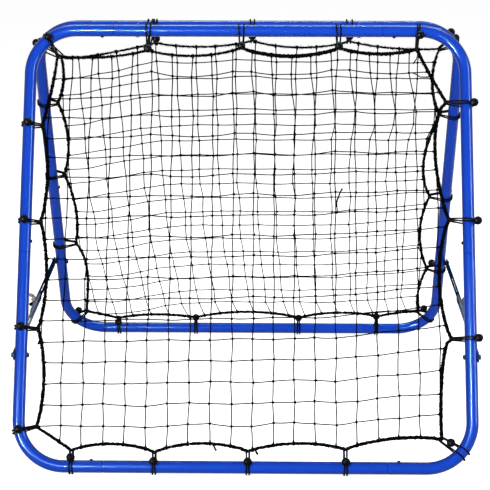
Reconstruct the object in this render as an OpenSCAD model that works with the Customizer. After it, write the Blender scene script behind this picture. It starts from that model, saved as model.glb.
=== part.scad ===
// Double-sided pitch back rebounder: two closed tube frames joined along their top bars,
// each with a knotted net on a border rope, and a slotted brace with a wing nut on each side.
// +Z up, +X to the right, the first frame towards -Y. The origin is on the ground at the middle.

/* [Frames] */
// Outer width of a frame
frame_w = 960; // [900:10:1020]
// Outer height of a frame, measured along its slope
frame_h = 965; // [940:5:1000]
// Lean of each frame from the vertical
lean = 27.4; // [25:0.2:30]
// Outer diameter of the tube
tube_d = 26; // [25:0.5:28]
// Wall of the tube
tube_wall = 1.2; // [1:0.1:1.5]
// Centre-line radius of the bent corners
corner_r = 96; // [85:1:110]
// Distance between the centre-lines of the two top bars
top_gap = 68; // [64:1:72]

/* [Tube joints] */
// Half length of the straight top and bottom bars
seam_x = 290; // [270:5:310]
// Distance from the top bar down to the joint in the sides
seam_drop = 492; // [480:2:504]
// Length of a swaged end
swage_l = 45; // [40:1:55]
// Distance from a joint to its spring button
button_back = 25; // [22:1:28]
// Diameter of a spring button
button_d = 7; // [6:0.5:8]
// How far a spring button stands proud of the tube
button_rise = 3.2; // [2.5:0.1:4]

/* [Hinge] */
// Distance of each hinge from the middle
hinge_x = 241; // [230:1:250]
// Height of the hinge pin below the top bars
pin_drop = 10; // [8:0.5:12]
// Diameter of the hinge and brace bolts
bolt_d = 6; // [5:0.5:6]
// Thickness of a hinge cheek
cheek_t = 2.5; // [2:0.1:3]
// Thickness of a hinge tongue
tongue_t = 2.8; // [2.4:0.1:3.2]
// Radius of the round ends of the hinge plates
hinge_end_r = 10; // [9:0.5:11]

/* [Braces] */
// Distance from the top bar down to a brace pivot
brace_drop = 709; // [700:1:720]
// Length of a brace bar from its pivot to its tip
bar_l = 443; // [436:1:448]
// Height of a brace bar
bar_h = 22; // [20:0.5:25]
// Thickness of a brace bar
bar_t = 2.5; // [2:0.1:2.6]
// Width of the slot
slot_w = 7; // [6.8:0.1:8]
// Distance from the pivot to the start of the slot
slot_from = 125; // [120:1:130]
// Distance from the pivot to the end of the slot
slot_to = 433; // [431:1:434]
// Distance of the clamp bolt from the first pivot
clamp_at = 395; // [390:1:398]
// Span of a wing nut
wing_span = 32; // [28:1:34]

/* [Nets] */
// Size of a mesh of the net
mesh = 44; // [40:1:50]
// Thickness of the twine
twine_d = 2.2; // [2:0.1:3]
// Thickness of the border rope
rope_d = 6; // [5:0.5:8]
// Thickness of the elastic cord
cord_d = 3; // [2.5:0.5:3.5]
// Diameter of the balls on the elastic cords
ball_d = 20; // [18:1:22]
// How deep the border rope bows between two cords, as a share of the drawn depth
slack = 1; // [0.5:0.1:1.2]

/* [Hidden] */
$fn = 48;

tube_r = tube_d / 2;
bore_r = tube_r - tube_wall;
half_w = frame_w / 2 - tube_r;          // centre-line of a side from the middle
leg = frame_h - tube_d;                 // centre-line of the top bar to that of the bottom bar
cord_gap = 0.3;                         // air between a cord and the tube it goes round
foot_r = tube_r + cord_gap + cord_d;    // the cords round the bottom bar touch the ground
top_z = foot_r + leg * cos(lean);
pin_z = top_z - pin_drop;
move_gap = 0.3;                         // air between pieces that move past each other
running = 0.05;                         // radial clearance of a turning fit
swage_gap = 0.1;                        // radial clearance of a slip joint
swage_r = bore_r - swage_gap;
swage_taper = 1.6;                      // the next tube begins where this short cone ends
blue = "royalblue";
zinc = "silver";
dark = [0.06, 0.06, 0.07];

// ---------------------------------------------------------------- placing

// A frame is drawn upright: the middle of its top bar at the origin, its outer face to -Y.
module place_front() {
    translate([0, -top_gap / 2, top_z]) rotate([-lean, 0, 0]) children();
}

module place_rear() {
    mirror([0, 1, 0]) place_front() children();
}

// ---------------------------------------------------------------- tubes

module pipe(l) {
    difference() {
        cylinder(r = tube_r, h = l);
        translate([0, 0, -1]) cylinder(r = bore_r, h = l + 2);
    }
}

// A swaged end: a short cone, then the reduced end that slips into the next tube.
function swage_outline(z0) = [
    [bore_r, z0 - 1], [tube_r, z0 - 1], [tube_r, z0], [swage_r, z0 + swage_taper],
    [swage_r, z0 + swage_l], [swage_r - tube_wall, z0 + swage_l],
    [swage_r - tube_wall, z0 + swage_taper], [bore_r, z0]
];

module swage() {
    rotate_extrude() polygon(swage_outline(0));
}

// The hole for a spring button, drilled towards +X from the axis of a tube along Z.
module button_hole() {
    rotate([0, 90, 0]) cylinder(d = button_d + 2 * running, h = tube_r + 1);
}

// A straight bar along X with a swaged end at both sides and its buttons towards -Z.
module straight_bar() {
    difference() {
        union() {
            translate([-seam_x + 0.5, 0, 0]) rotate([0, 90, 0]) pipe(2 * seam_x - 1);
            for (s = [-1, 1])
                translate([s * seam_x, 0, 0]) rotate([0, s * 90, 0]) swage();
        }
        for (s = [-1, 1])
            translate([s * (seam_x + button_back), 0, 0])
                rotate([0, 90, 0]) button_hole();
    }
}

// A corner piece: leg to the middle, bend, and leg down to side_end below the top bar.
module corner_tube(side_end) {
    translate([-half_w + corner_r, 0, 0]) rotate([0, 90, 0])
        pipe(half_w - corner_r - seam_x - swage_taper);
    translate([-half_w + corner_r, 0, -corner_r]) rotate([90, 0, 0])
        rotate([0, 0, 90]) rotate_extrude(angle = 90) translate([corner_r, 0])
            difference() {
                circle(r = tube_r);
                circle(r = bore_r);
            }
    translate([-half_w, 0, -side_end]) pipe(side_end - corner_r);
}

module upper_corner() {
    difference() {
        corner_tube(seam_drop - swage_taper);
        translate([-seam_x - button_back, 0, 0]) rotate([0, 90, 0]) button_hole();
        translate([-half_w, 0, -seam_drop + button_back]) button_hole();
    }
}

// The lower corner is drawn as an upper one, turned over, with a swaged end on its side leg.
module lower_corner() {
    side = leg - seam_drop;
    translate([0, 0, -leg]) mirror([0, 0, 1]) difference() {
        union() {
            corner_tube(side - 0.5);
            translate([-half_w, 0, -side]) mirror([0, 0, 1]) swage();
        }
        translate([-seam_x - button_back, 0, 0]) rotate([0, 90, 0]) button_hole();
        translate([-half_w, 0, -side - button_back]) button_hole();
        translate([-half_w - tube_r - 1, 0, -(leg - brace_drop)]) rotate([0, 90, 0])
            cylinder(d = bolt_d + 0.4, h = tube_d + 2);
    }
}

module top_bar() {
    color(blue) straight_bar();
}

module bottom_bar() {
    color(blue) translate([0, 0, -leg]) mirror([0, 0, 1]) straight_bar();
}

// ---------------------------------------------------------------- spring buttons

flange_top = 9.2;       // the flange rests under the curved bore of the swaged end
flange_h = 1.2;
dome_r = 5;
leaf_t = 0.8;
leaf_w = 8;
leaf_back = -9.6;       // radial place of the leaf that lies on the far wall
leaf_l = 26;

// A button on the axis of a tube along Z, pointing to +X.
module button() {
    dome_h = dome_r - sqrt(dome_r * dome_r - button_d * button_d / 4);
    rise = tube_r + button_rise;
    color(zinc) rotate([0, 90, 0]) {
        translate([0, 0, flange_top - flange_h]) cylinder(d = 9.4, h = flange_h);
        translate([0, 0, flange_top - 0.1])
            cylinder(d = button_d, h = rise - dome_h - flange_top + 0.1);
        intersection() {
            translate([0, 0, rise - dome_r]) sphere(r = dome_r);
            translate([0, 0, rise - dome_h - 0.01]) cylinder(d = button_d, h = dome_h + 0.1);
        }
    }
}

// The leaf spring behind a button: a narrow hairpin that opens towards the tube's end (-Z).
module leaf_spring() {
    leaf_front = flange_top - flange_h - 0.02;
    bend_r = (leaf_front - leaf_back) / 4;
    color(zinc) rotate([90, 0, 0]) linear_extrude(leaf_w, center = true) {
        polygon([
            [leaf_front, -4], [leaf_front, 4], [leaf_back + 2 * bend_r, leaf_l],
            [leaf_back + 2 * bend_r - leaf_t, leaf_l], [leaf_front - leaf_t, 4],
            [leaf_front - leaf_t, -4]
        ]);
        translate([leaf_back, -10]) square([leaf_t, leaf_l + 10]);
        difference() {
            translate([leaf_back + bend_r, leaf_l]) circle(r = bend_r);
            translate([leaf_back + bend_r, leaf_l]) circle(r = bend_r - leaf_t);
            translate([leaf_back - 1, leaf_l - 3 * bend_r])
                square([2 * bend_r + 2, 3 * bend_r]);
        }
    }
}

// Puts a piece that points to +X, with the inside of its tube to +Z, at a button of a frame.
module at_button(place, side) {
    mirror([side > 0 ? 1 : 0, 0, 0]) {
        if (place == "top")
            translate([-seam_x - button_back, 0, 0]) rotate([0, 90, 0]) children();
        if (place == "side")
            translate([-half_w, 0, -seam_drop + button_back]) mirror([0, 0, 1]) children();
        if (place == "bottom")
            translate([-seam_x - button_back, 0, -leg]) mirror([0, 0, 1])
                rotate([0, 90, 0]) children();
    }
}

module button_springs() {
    for (side = [-1, 1], place = ["top", "side", "bottom"])
        at_button(place, side) leaf_spring();
}

// ---------------------------------------------------------------- hinge

// The outline round two circles, as the polygon between their common tangents.
module strap(p, pr, q, qr) {
    d = norm(q - p);
    a = atan2(q[1] - p[1], q[0] - p[0]);
    b = acos((pr - qr) / d);
    polygon([
        p + pr * [cos(a + b), sin(a + b)], q + qr * [cos(a + b), sin(a + b)],
        q + qr * [cos(a - b), sin(a - b)], p + pr * [cos(a - b), sin(a - b)]
    ]);
    translate(p) circle(r = pr);
}

// A hinge plate in the plane across the bars: it sits on the first bar and holds the pin.
module hinge_plate(t, hole) {
    rotate([90, 0, 90]) linear_extrude(t, center = true) difference() {
        strap([0, pin_z], hinge_end_r, [-top_gap / 2, top_z], tube_r - 1);
        translate([-top_gap / 2, top_z]) circle(r = tube_r);
        translate([0, pin_z]) circle(d = hole);
    }
}

cheek_x = tongue_t / 2 + move_gap + cheek_t / 2;
cheek_face = cheek_x + cheek_t / 2;
head_af = 10;
head_h = 4;
nut_h = 5;
jam_h = 3.2;

module hex(af, h) {
    intersection() {
        cylinder(d = af / cos(30), h = h, $fn = 6);
        cylinder(d1 = af * 0.94 + 2 * h, d2 = af * 0.94, h = h);
        cylinder(d = af * 1.1, h = h);
    }
}

module nut(h) {
    difference() {
        hex(head_af, h);
        translate([0, 0, -1]) cylinder(d = bolt_d, h = h + 2);
    }
}

module hinge_cheeks() {
    color(blue) for (x = [-hinge_x, hinge_x], s = [-1, 1])
        translate([x + s * cheek_x, 0, 0]) hinge_plate(cheek_t, bolt_d);
}

module hinge_tongues() {
    color(blue) for (x = [-hinge_x, hinge_x])
        mirror([0, 1, 0]) translate([x, 0, 0])
            hinge_plate(tongue_t, bolt_d + 2 * running);
}

// Bolt heads face out, nuts face in.
module hinge_bolts() {
    color(zinc) for (s = [-1, 1]) mirror([s > 0 ? 0 : 1, 0, 0])
        translate([hinge_x, 0, pin_z]) {
            translate([cheek_face, 0, 0]) rotate([0, 90, 0]) hex(head_af, head_h);
            translate([-cheek_face - nut_h - 2, 0, 0]) rotate([0, 90, 0])
                cylinder(d = bolt_d, h = 2 * cheek_face + nut_h + 2);
        }
}

module hinge_nuts() {
    color(zinc) for (s = [-1, 1]) mirror([s > 0 ? 0 : 1, 0, 0])
        translate([hinge_x - cheek_face, 0, pin_z]) rotate([0, -90, 0]) nut(nut_h);
}

// ---------------------------------------------------------------- braces

pivot_y = top_gap / 2 + brace_drop * sin(lean);
pivot_z = top_z - brace_drop * cos(lean);
side_x = half_w + tube_r;
inner_bar_x = side_x + move_gap;                // the first frame's bar lies on the tube
outer_bar_x = inner_bar_x + bar_t + move_gap;   // the second frame's bar lies on the first bar
brace_end_x = outer_bar_x + bar_t;

// A bar along +Y from its pivot at the origin, its inner face on the plane x = 0.
module slotted_bar() {
    color(blue) rotate([90, 0, 90]) linear_extrude(bar_t) difference() {
        union() {
            circle(d = bar_h);
            translate([0, -bar_h / 2]) square([bar_l - bar_h / 2, bar_h]);
            translate([bar_l - bar_h / 2, 0]) circle(d = bar_h);
        }
        circle(d = bolt_d + 2 * running);
        translate([slot_from + slot_w / 2, 0]) circle(d = slot_w);
        translate([slot_to - slot_w / 2, 0]) circle(d = slot_w);
        translate([slot_from + slot_w / 2, -slot_w / 2])
            square([slot_to - slot_from - slot_w, slot_w]);
    }
}

module front_brace() {
    translate([inner_bar_x, -pivot_y, pivot_z]) slotted_bar();
}

module rear_brace() {
    translate([outer_bar_x, pivot_y, pivot_z]) mirror([0, 1, 0]) slotted_bar();
}

neck_w = 6;
washer_t = 1.4;
washer_d = 14;
hub_h = 8;
clamp_y = clamp_at - pivot_y;

// A carriage bolt: a round head inside, a square neck in the inner bar, a shank to the outside.
module clamp_bolt() {
    cap_r = 8.2;
    cap_h = 3;
    color(zinc) translate([inner_bar_x, clamp_y, pivot_z]) rotate([0, 90, 0]) {
        translate([0, 0, -move_gap]) intersection() {
            translate([0, 0, cap_r - cap_h]) sphere(r = cap_r);
            translate([0, 0, -cap_h]) cylinder(d = 13, h = cap_h);
        }
        translate([-neck_w / 2, -neck_w / 2, -move_gap - 0.1])
            cube([neck_w, neck_w, bar_t + move_gap]);
        cylinder(d = bolt_d, h = 2 * bar_t + move_gap + washer_t + hub_h + 3);
    }
}

module clamp_washer() {
    color(zinc) translate([brace_end_x + move_gap, clamp_y, pivot_z])
        rotate([0, 90, 0]) difference() {
            cylinder(d = washer_d, h = washer_t - move_gap);
            translate([0, 0, -1]) cylinder(d = bolt_d, h = washer_t + 2);
        }
}

// A wing nut: a conical hub and two rounded wings that lean outwards.
module wing_nut() {
    wing_t = 2.6;
    ear_r = 4.6;
    ear = [wing_span / 2 - ear_r, hub_h + 4];
    color(zinc) translate([brace_end_x + washer_t + 0.1, clamp_y, pivot_z])
        rotate([0, 90, 0]) difference() {
            union() {
                cylinder(d1 = 11.5, d2 = 9, h = hub_h);
                for (a = [0, 180]) rotate([90, 0, a])
                    linear_extrude(wing_t, center = true) {
                        polygon([[2, 0.6], [5, 0.6], ear + ear_r * [0.82, -0.57],
                                 ear + ear_r * [-0.82, 0.57], [2, hub_h - 0.6]]);
                        translate(ear) circle(r = ear_r);
                    }
            }
            translate([0, 0, -1]) cylinder(r = bolt_d / 2 + running, h = hub_h + 2);
            translate([0, 0, hub_h]) cylinder(d = 9, h = 12);
        }
}

module pivot_bolt(head_at) {
    color(zinc) translate([0, -pivot_y, pivot_z]) rotate([0, 90, 0]) {
        translate([0, 0, head_at]) hex(head_af, head_h);
        translate([0, 0, half_w - tube_r - jam_h - 1.2])
            cylinder(d = bolt_d, h = head_at - half_w + tube_r + jam_h + 1.3);
    }
}

module pivot_nut() {
    color(zinc) translate([half_w - tube_r, -pivot_y, pivot_z]) rotate([0, -90, 0])
        nut(jam_h);
}

module rear_pivot_spacer() {
    color(zinc) translate([side_x, pivot_y, pivot_z]) rotate([0, 90, 0]) difference() {
        cylinder(d = 12, h = outer_bar_x - move_gap - side_x);
        translate([0, 0, -1]) cylinder(d = bolt_d, h = 12);
    }
}

// Both hands of a side piece.
module both_sides() {
    children();
    mirror([1, 0, 0]) children();
}

// ---------------------------------------------------------------- nets

// Each cord: the place on the tube [x, drop], the way it pulls (0 is +X, 90 is down), its
// length from the tube's axis to the rope, its ball (the angle round the tube from the rope to
// the outer face, and the distance from the tube's axis), the depth of the rope's bow to the
// next cord, and the skew of the pull to the tube, as a slope.
DRAWN_W = 467;      // the places are drawn for this half width
DRAWN_H = 939;      // and for this height, both between tube axes
resting = tube_r + ball_d / 2 + move_gap;       // a ball that lies on the tube
strand_gap = 9;                                 // between the two strands of a cord
strand_in = 0.6;
strand_thin = 0.1;
function wide(x) = x * half_w / DRAWN_W;
function tall(drop) = drop * leg / DRAWN_H;
function on_top(x, reach, tilt, ball, far, bow) =
    [[wide(x), 0], 90 + tilt, reach, ball, far, bow, -tan(tilt)];
function on_bottom(x, reach, ball, far, bow) = [[wide(x), leg], -90, reach, ball, far, bow, 0];
function on_left(drop, reach, tilt, ball, far, bow) =
    [[-half_w, tall(drop)], tilt, reach, ball, far, bow, -tan(tilt)];
function on_right(drop, reach, tilt, ball, far, bow) =
    [[half_w, tall(drop)], 180 - tilt, reach, ball, far, bow, tan(tilt)];
// At a bend: right is -1 or 1, low is -1 at the top and 1 at the bottom.
function on_bend(right, low, a, reach, ball, far, bow) = let (
    out = [right * cos(a), low * sin(a)],
    middle = [right * (half_w - corner_r), low < 0 ? corner_r : leg - corner_r]
) [middle + corner_r * out, atan2(-out[1], -out[0]), reach, ball, far, bow, 0];
function node_of(cord) = cord[0] + cord[2] * [cos(cord[1]), sin(cord[1])];

FRONT_CORDS = [
    on_bend(-1, -1, 46.5, 41, 92, resting, 11),
    on_top(-215, 45, 0, 17, 47, 22),
    on_top(-12, 45, 0, 19.5, 40.3, 26),
    on_top(200, 45, 0, 19.5, 40.3, 18),
    on_top(367, 40, 5.7, 52, resting, 2),
    on_right(163, 42, -4.1, 132, resting, 27),
    on_right(420, 40, -4.3, 142, resting, 24),
    on_right(671, 39, 0, 130, resting, 15),
    on_bend(1, 1, 47.5, 47, 12, 33, 13),
    on_bottom(206, 37, 64, resting, 15),
    on_bottom(6, 32, 62, resting, 18),
    on_bottom(-186, 29, 58, resting, 16),
    on_bottom(-356, 32, 43, resting, 1),
    on_bend(-1, 1, 14, 34, 90, resting, 15),
    on_left(652, 33, 3.5, 90, resting, 16),
    on_left(424, 31, 3.7, 90, resting, 14),
    on_left(212, 28, 4.1, 90, resting, 4)
];
REAR_CORDS = [
    on_bend(-1, -1, 34.8, 36.5, -144, resting, 12),
    on_top(-204, 44, 0, -15, 29, 13),
    on_top(2, 44, 0, -15, 29, 14),
    on_top(218, 44, 0, -15, 29, 8),
    on_bend(1, -1, 35.1, 30, 102, resting, 18),
    on_right(244, 31, -3.7, 100, resting, 25),
    on_right(492, 37, -1.5, 111, resting, 22),
    on_right(727.5, 29, -3, 48, 26, 11),
    on_bend(1, 1, 33.4, 32.5, 60, 26, 5),
    on_bottom(320, 42, 26, 32, 17),
    on_bottom(122, 36, 28, 27, 22),
    on_bottom(-140, 35, 28, 27, 13),
    on_bottom(-336, 33, -24, 36, 1),
    on_bend(-1, 1, 40.9, 36.5, 80, 25, 18),
    on_left(650, 39, -2.9, 98, resting, 15),
    on_left(428, 27, -2.1, 98, resting, 18),
    on_left(212, 29, 3.9, 98, resting, 11)
];

// The border rope runs from cord to cord and bows in between them.
ROPE_STEPS = 6;
function inward(p, q) = [-(q[1] - p[1]), q[0] - p[0]] / norm(q - p);
function rope_route(cords) = [
    for (i = [0 : len(cords) - 1])
        let (p = node_of(cords[i]), q = node_of(cords[(i + 1) % len(cords)]))
            for (j = [0 : ROPE_STEPS - 1])
                let (u = j / ROPE_STEPS)
                    p + (q - p) * u + inward(p, q) * slack * cords[i][5] * pow(sin(180 * u), 0.7)
];

// A closed tube swept along a flat route of [x, drop] points.
module closed_sweep(route, r, sides) {
    n = len(route);
    ring = function(i) let (
        a = route[(i + n - 1) % n], b = route[(i + 1) % n], across = inward(a, b)
    ) [for (k = [0 : sides - 1])
        let (w = route[i] + across * r * cos(360 * k / sides))
            [w[0], r * sin(360 * k / sides), -w[1]]];
    points = [for (i = [0 : n - 1]) each ring(i)];
    faces = [for (i = [0 : n - 1], k = [0 : sides - 1])
        let (i2 = (i + 1) % n, k2 = (k + 1) % sides)
            each [[i * sides + k, i2 * sides + k, i2 * sides + k2],
                  [i * sides + k, i2 * sides + k2, i * sides + k2]]];
    polyhedron(points, faces);
}

module border_rope(cords) {
    color(dark) closed_sweep(rope_route(cords), rope_d / 2, 8);
}

// The knots of a net lie on a square grid that hangs out of true: up at the cords of the top
// bar, up at the right, askew lower down. Drops are drawn like the places of the cords.
NET_X = 15;
NET_DROP = 97;
function ramp(v, from, to) = min(1, max(0, (v - from) / (to - from)));
function at_ties(x) = abs(x) > 310 ? 0 : pow(0.5 + 0.5 * cos(360 * (x + 5) / 210), 2);
function kink(x, t) = 1.5 * [sin(3.1 * x + 2.4 * t), sin(2.3 * x - 3.3 * t)];
function front_drape(x, t) = [
    -0.02 * max(0, x) - (5 + 0.02 * x) * (1 - ramp(t, 97, 185)),
    4 - 0.02 * x - 0.1 * max(0, x - 190) * ramp(t, 250, 650)
        - at_ties(x) * (5 + 7 * (1 - ramp(t, 97, 185)) - 5 * ramp(t, 320, 700)
            - 8 * ramp(t, 700, 880))
];
function rear_drape(x, t) = [
    0.03 * max(0, x) * (1 - ramp(t, 273, 317)) + 5 * ramp(t, 449, 500)
        + (20 - 0.035 * x) * ramp(t, 600, 850) + 15 * ramp(t, 850, 895),
    0.0005 * pow(min(0, x + 80), 2) - 0.1 * max(0, x - 200) * ramp(t, 350, 550)
        - at_ties(x) * (9 - 6 * ramp(t, 97, 185) - 3 * ramp(t, 320, 600))
];
function knot(front, i, j) = let (
    x = NET_X + mesh * i,
    t = NET_DROP + mesh * j,
    hung = [x, t] + kink(x, t) + (front ? front_drape(x, t) : rear_drape(x, t))
) [wide(hung[0]), -tall(hung[1])];

// The net: a flat web of meshes, bounded by the rope.
module net(front, cords) {
    route = [for (p = rope_route(cords)) [p[0], -p[1]]];
    middle = [0, -leg / 2];
    shrink = 1 - rope_d / 2 / half_w;
    columns = ceil(DRAWN_W / mesh);
    rows = ceil(DRAWN_H / mesh);
    color(dark) rotate([90, 0, 0]) linear_extrude(twine_d, center = true) difference() {
        polygon(route);
        intersection() {
            polygon([for (p = route) middle + (p - middle) * shrink]);
            for (i = [-columns : columns - 1], j = [-2 : rows - 2])
                mesh_hole([knot(front, i, j), knot(front, i + 1, j),
                           knot(front, i + 1, j + 1), knot(front, i, j + 1)]);
        }
    }
}

// The opening between four knots.
module mesh_hole(knots) {
    middle = (knots[0] + knots[1] + knots[2] + knots[3]) / 4;
    polygon([for (k = knots) middle + (k - middle) * (1 - twine_d / mesh)]);
}

// An elastic cord: two strands that run like belts round the tube and the rope, towards +X.
module cord_loop(reach, skew) {
    ring_r = tube_r + cord_gap + cord_d / 2;
    hook_r = rope_d / 2 + cord_gap + cord_d / 2;
    for (z = [-strand_gap / 2, strand_gap / 2])
        translate([z * skew, 0, z]) belt(ring_r, hook_r, reach - z * skew);
}

// A cord round two circles: one at the origin, the other one at [far, 0].
module belt(near_r, far_r, far) {
    touch = acos((near_r - far_r) / far);
    rotate([0, 0, touch]) rotate_extrude(angle = 360 - 2 * touch)
        translate([near_r, 0]) circle(d = cord_d);
    translate([far, 0, 0]) rotate([0, 0, -touch]) rotate_extrude(angle = 2 * touch)
        translate([far_r, 0]) circle(d = cord_d);
    for (s = [-1, 1])
        translate(near_r * [cos(touch), s * sin(touch), 0]) rotate([0, 0, s * (touch - 90)])
            translate([-strand_in, 0, 0]) rotate([0, 90, 0])
                cylinder(r = cord_d / 2 - strand_thin, h = far * sin(touch) + 2 * strand_in);
}

// Turns a piece so that its +X points from the tube to the rope and its +Y to the outer face.
module at_cord(cord) {
    translate([cord[0][0], 0, -cord[0][1]]) rotate([0, cord[1], 0])
        mirror([0, 1, 0]) children();
}

module elastic_cords(cords) {
    color(dark) for (c = cords) at_cord(c) cord_loop(c[2], c[6]);
}

module cord_balls(cords) {
    color(dark) for (c = cords)
        at_cord(c) translate(c[4] * [cos(c[3]), sin(c[3]), 0]) sphere(d = ball_d);
}

// ---------------------------------------------------------------- nodes

place_front() top_bar();  // front_top_bar
place_front() color(blue) upper_corner();  // front_upper_corner_left
mirror([1, 0, 0]) place_front() color(blue) upper_corner();  // front_upper_corner_right
place_front() color(blue) lower_corner();  // front_lower_corner_left
mirror([1, 0, 0]) place_front() color(blue) lower_corner();  // front_lower_corner_right
place_front() bottom_bar();  // front_bottom_bar
place_rear() top_bar();  // rear_top_bar
place_rear() color(blue) upper_corner();  // rear_upper_corner_left
mirror([1, 0, 0]) place_rear() color(blue) upper_corner();  // rear_upper_corner_right
place_rear() color(blue) lower_corner();  // rear_lower_corner_left
mirror([1, 0, 0]) place_rear() color(blue) lower_corner();  // rear_lower_corner_right
place_rear() bottom_bar();  // rear_bottom_bar
for (side = [["left", -1], ["right", 1]], place = ["top", "side", "bottom"]) {
    place_front() at_button(place, side[1]) button();
    place_rear() at_button(place, side[1]) button();
}
place_front() button_springs();  // front_button_springs
place_rear() button_springs();  // rear_button_springs
hinge_cheeks();
hinge_tongues();
hinge_bolts();
hinge_nuts();
mirror([1, 0, 0]) front_brace();  // front_brace_left
front_brace();  // front_brace_right
mirror([1, 0, 0]) rear_brace();  // rear_brace_left
rear_brace();  // rear_brace_right
mirror([1, 0, 0]) clamp_bolt();  // clamp_bolt_left
clamp_bolt();  // clamp_bolt_right
mirror([1, 0, 0]) clamp_washer();  // clamp_washer_left
clamp_washer();  // clamp_washer_right
mirror([1, 0, 0]) wing_nut();  // wing_nut_left
wing_nut();  // wing_nut_right
both_sides() pivot_bolt(outer_bar_x);  // front_pivot_bolts
mirror([0, 1, 0]) both_sides() pivot_bolt(brace_end_x + move_gap);  // rear_pivot_bolts
both_sides() pivot_nut();  // front_pivot_nuts
mirror([0, 1, 0]) both_sides() pivot_nut();  // rear_pivot_nuts
both_sides() rear_pivot_spacer();  // rear_pivot_spacers
place_front() net(true, FRONT_CORDS);  // front_net
place_rear() net(false, REAR_CORDS);  // rear_net
place_front() border_rope(FRONT_CORDS);  // front_border_rope
place_rear() border_rope(REAR_CORDS);  // rear_border_rope
place_front() elastic_cords(FRONT_CORDS);  // front_elastic_cords
place_rear() elastic_cords(REAR_CORDS);  // rear_elastic_cords
place_front() cord_balls(FRONT_CORDS);  // front_cord_balls
place_rear() cord_balls(REAR_CORDS);  // rear_cord_balls
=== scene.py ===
import math
import random

import bpy
from mathutils import Matrix, Vector


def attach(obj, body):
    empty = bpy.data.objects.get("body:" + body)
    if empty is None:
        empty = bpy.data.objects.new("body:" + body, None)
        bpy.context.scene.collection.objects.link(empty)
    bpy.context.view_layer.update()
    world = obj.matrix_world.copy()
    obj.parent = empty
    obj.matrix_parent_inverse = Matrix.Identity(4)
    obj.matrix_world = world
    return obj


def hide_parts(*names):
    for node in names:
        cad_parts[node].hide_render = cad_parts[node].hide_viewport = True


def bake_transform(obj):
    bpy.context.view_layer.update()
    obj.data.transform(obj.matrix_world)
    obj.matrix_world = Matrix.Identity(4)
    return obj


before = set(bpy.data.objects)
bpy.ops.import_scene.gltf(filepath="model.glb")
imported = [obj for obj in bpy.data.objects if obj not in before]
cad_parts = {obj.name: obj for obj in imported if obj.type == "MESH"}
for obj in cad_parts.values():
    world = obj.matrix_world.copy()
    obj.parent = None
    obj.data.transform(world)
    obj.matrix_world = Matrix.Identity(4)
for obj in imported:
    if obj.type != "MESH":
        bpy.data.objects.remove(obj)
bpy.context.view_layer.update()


# ---------------------------------------------------------------- studio
# A white sweep that runs out of sight, a soft lamp over the left shoulder, one from the right
# and a long strip overhead. Narrow lamps that show in gloss alone draw the tubes' highlights.

bpy.ops.object.select_all(action="DESELECT")
bpy.ops.object.camera_add(location=(0.0548, -3.8207, 1.3949),
                          rotation=(math.radians(74.87), 0, 0.0162))
camera = bpy.context.object
camera.data.lens = 129.2
camera.data.sensor_width = 36
bpy.context.scene.camera = camera
bpy.context.scene.view_settings.view_transform = "Standard"


def add_node(tree, kind, inputs=None, **settings):
    """Adds a shader node, sets its properties and its plain input values."""
    node = tree.nodes.new(kind)
    for name, value in settings.items():
        setattr(node, name, value)
    for name, value in (inputs or {}).items():
        node.inputs[name].default_value = value
    return node


def background_mask(tree):
    """1 where a ray sees the background itself or its image in gloss or glass."""
    path = add_node(tree, "ShaderNodeLightPath")
    seen = path.outputs["Is Camera Ray"]
    for ray in ("Is Glossy Ray", "Is Transmission Ray"):
        either = add_node(tree, "ShaderNodeMath", operation="MAXIMUM")
        tree.links.new(seen, either.inputs[0])
        tree.links.new(path.outputs[ray], either.inputs[1])
        seen = either.outputs[0]
    return seen


world = bpy.data.worlds.new("studio")
bpy.context.scene.world = world
world.use_nodes = True
sky = world.node_tree
sky.nodes.clear()
room_light = add_node(sky, "ShaderNodeBackground", {"Color": (1, 1, 1, 1), "Strength": 0.12})
white_wall = add_node(sky, "ShaderNodeBackground", {"Color": (1, 1, 1, 1), "Strength": 1.0})
either_wall = add_node(sky, "ShaderNodeMixShader")
sky_out = add_node(sky, "ShaderNodeOutputWorld")
sky.links.new(background_mask(sky), either_wall.inputs[0])
sky.links.new(room_light.outputs[0], either_wall.inputs[1])
sky.links.new(white_wall.outputs[0], either_wall.inputs[2])
sky.links.new(either_wall.outputs[0], sky_out.inputs["Surface"])

bpy.ops.mesh.primitive_plane_add(size=60)
floor = bpy.context.object
floor.name = "floor"
sweep = bpy.data.materials.new("white_sweep")
sweep.use_nodes = True
tree = sweep.node_tree
tree.nodes.clear()
paper = add_node(tree, "ShaderNodeBsdfDiffuse", {"Color": (0.82, 0.82, 0.82, 1)})
glow = add_node(tree, "ShaderNodeEmission", {"Color": (1, 1, 1, 1), "Strength": 0.86})
lit_paper = add_node(tree, "ShaderNodeAddShader")
seen_paper = add_node(tree, "ShaderNodeMixShader")
out = add_node(tree, "ShaderNodeOutputMaterial")
tree.links.new(paper.outputs[0], lit_paper.inputs[0])
tree.links.new(glow.outputs[0], lit_paper.inputs[1])
tree.links.new(background_mask(tree), seen_paper.inputs[0])
tree.links.new(paper.outputs[0], seen_paper.inputs[1])
tree.links.new(lit_paper.outputs[0], seen_paper.inputs[2])
tree.links.new(seen_paper.outputs[0], out.inputs["Surface"])
floor.data.materials.append(sweep)


def hang_lamp(name, place, aim, size, watts, beam=180, glint=False, colour=(1, 1, 1)):
    """A rectangular lamp that faces the point aim; a glint lamp shows only in gloss.

    The beam is its full angle in degrees, as a grid in front of the lamp would leave it.
    """
    bpy.ops.object.light_add(type="AREA", location=place)
    lamp = bpy.context.object
    lamp.name = name
    lamp.data.shape = "RECTANGLE"
    lamp.data.size, lamp.data.size_y = size
    lamp.data.energy = watts
    lamp.data.spread = math.radians(beam)
    lamp.data.color = colour
    lamp.visible_camera = False
    if glint:
        lamp.visible_diffuse = False
    lamp.rotation_euler = (Vector(aim) - Vector(place)).to_track_quat("-Z", "Y").to_euler()


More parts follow.
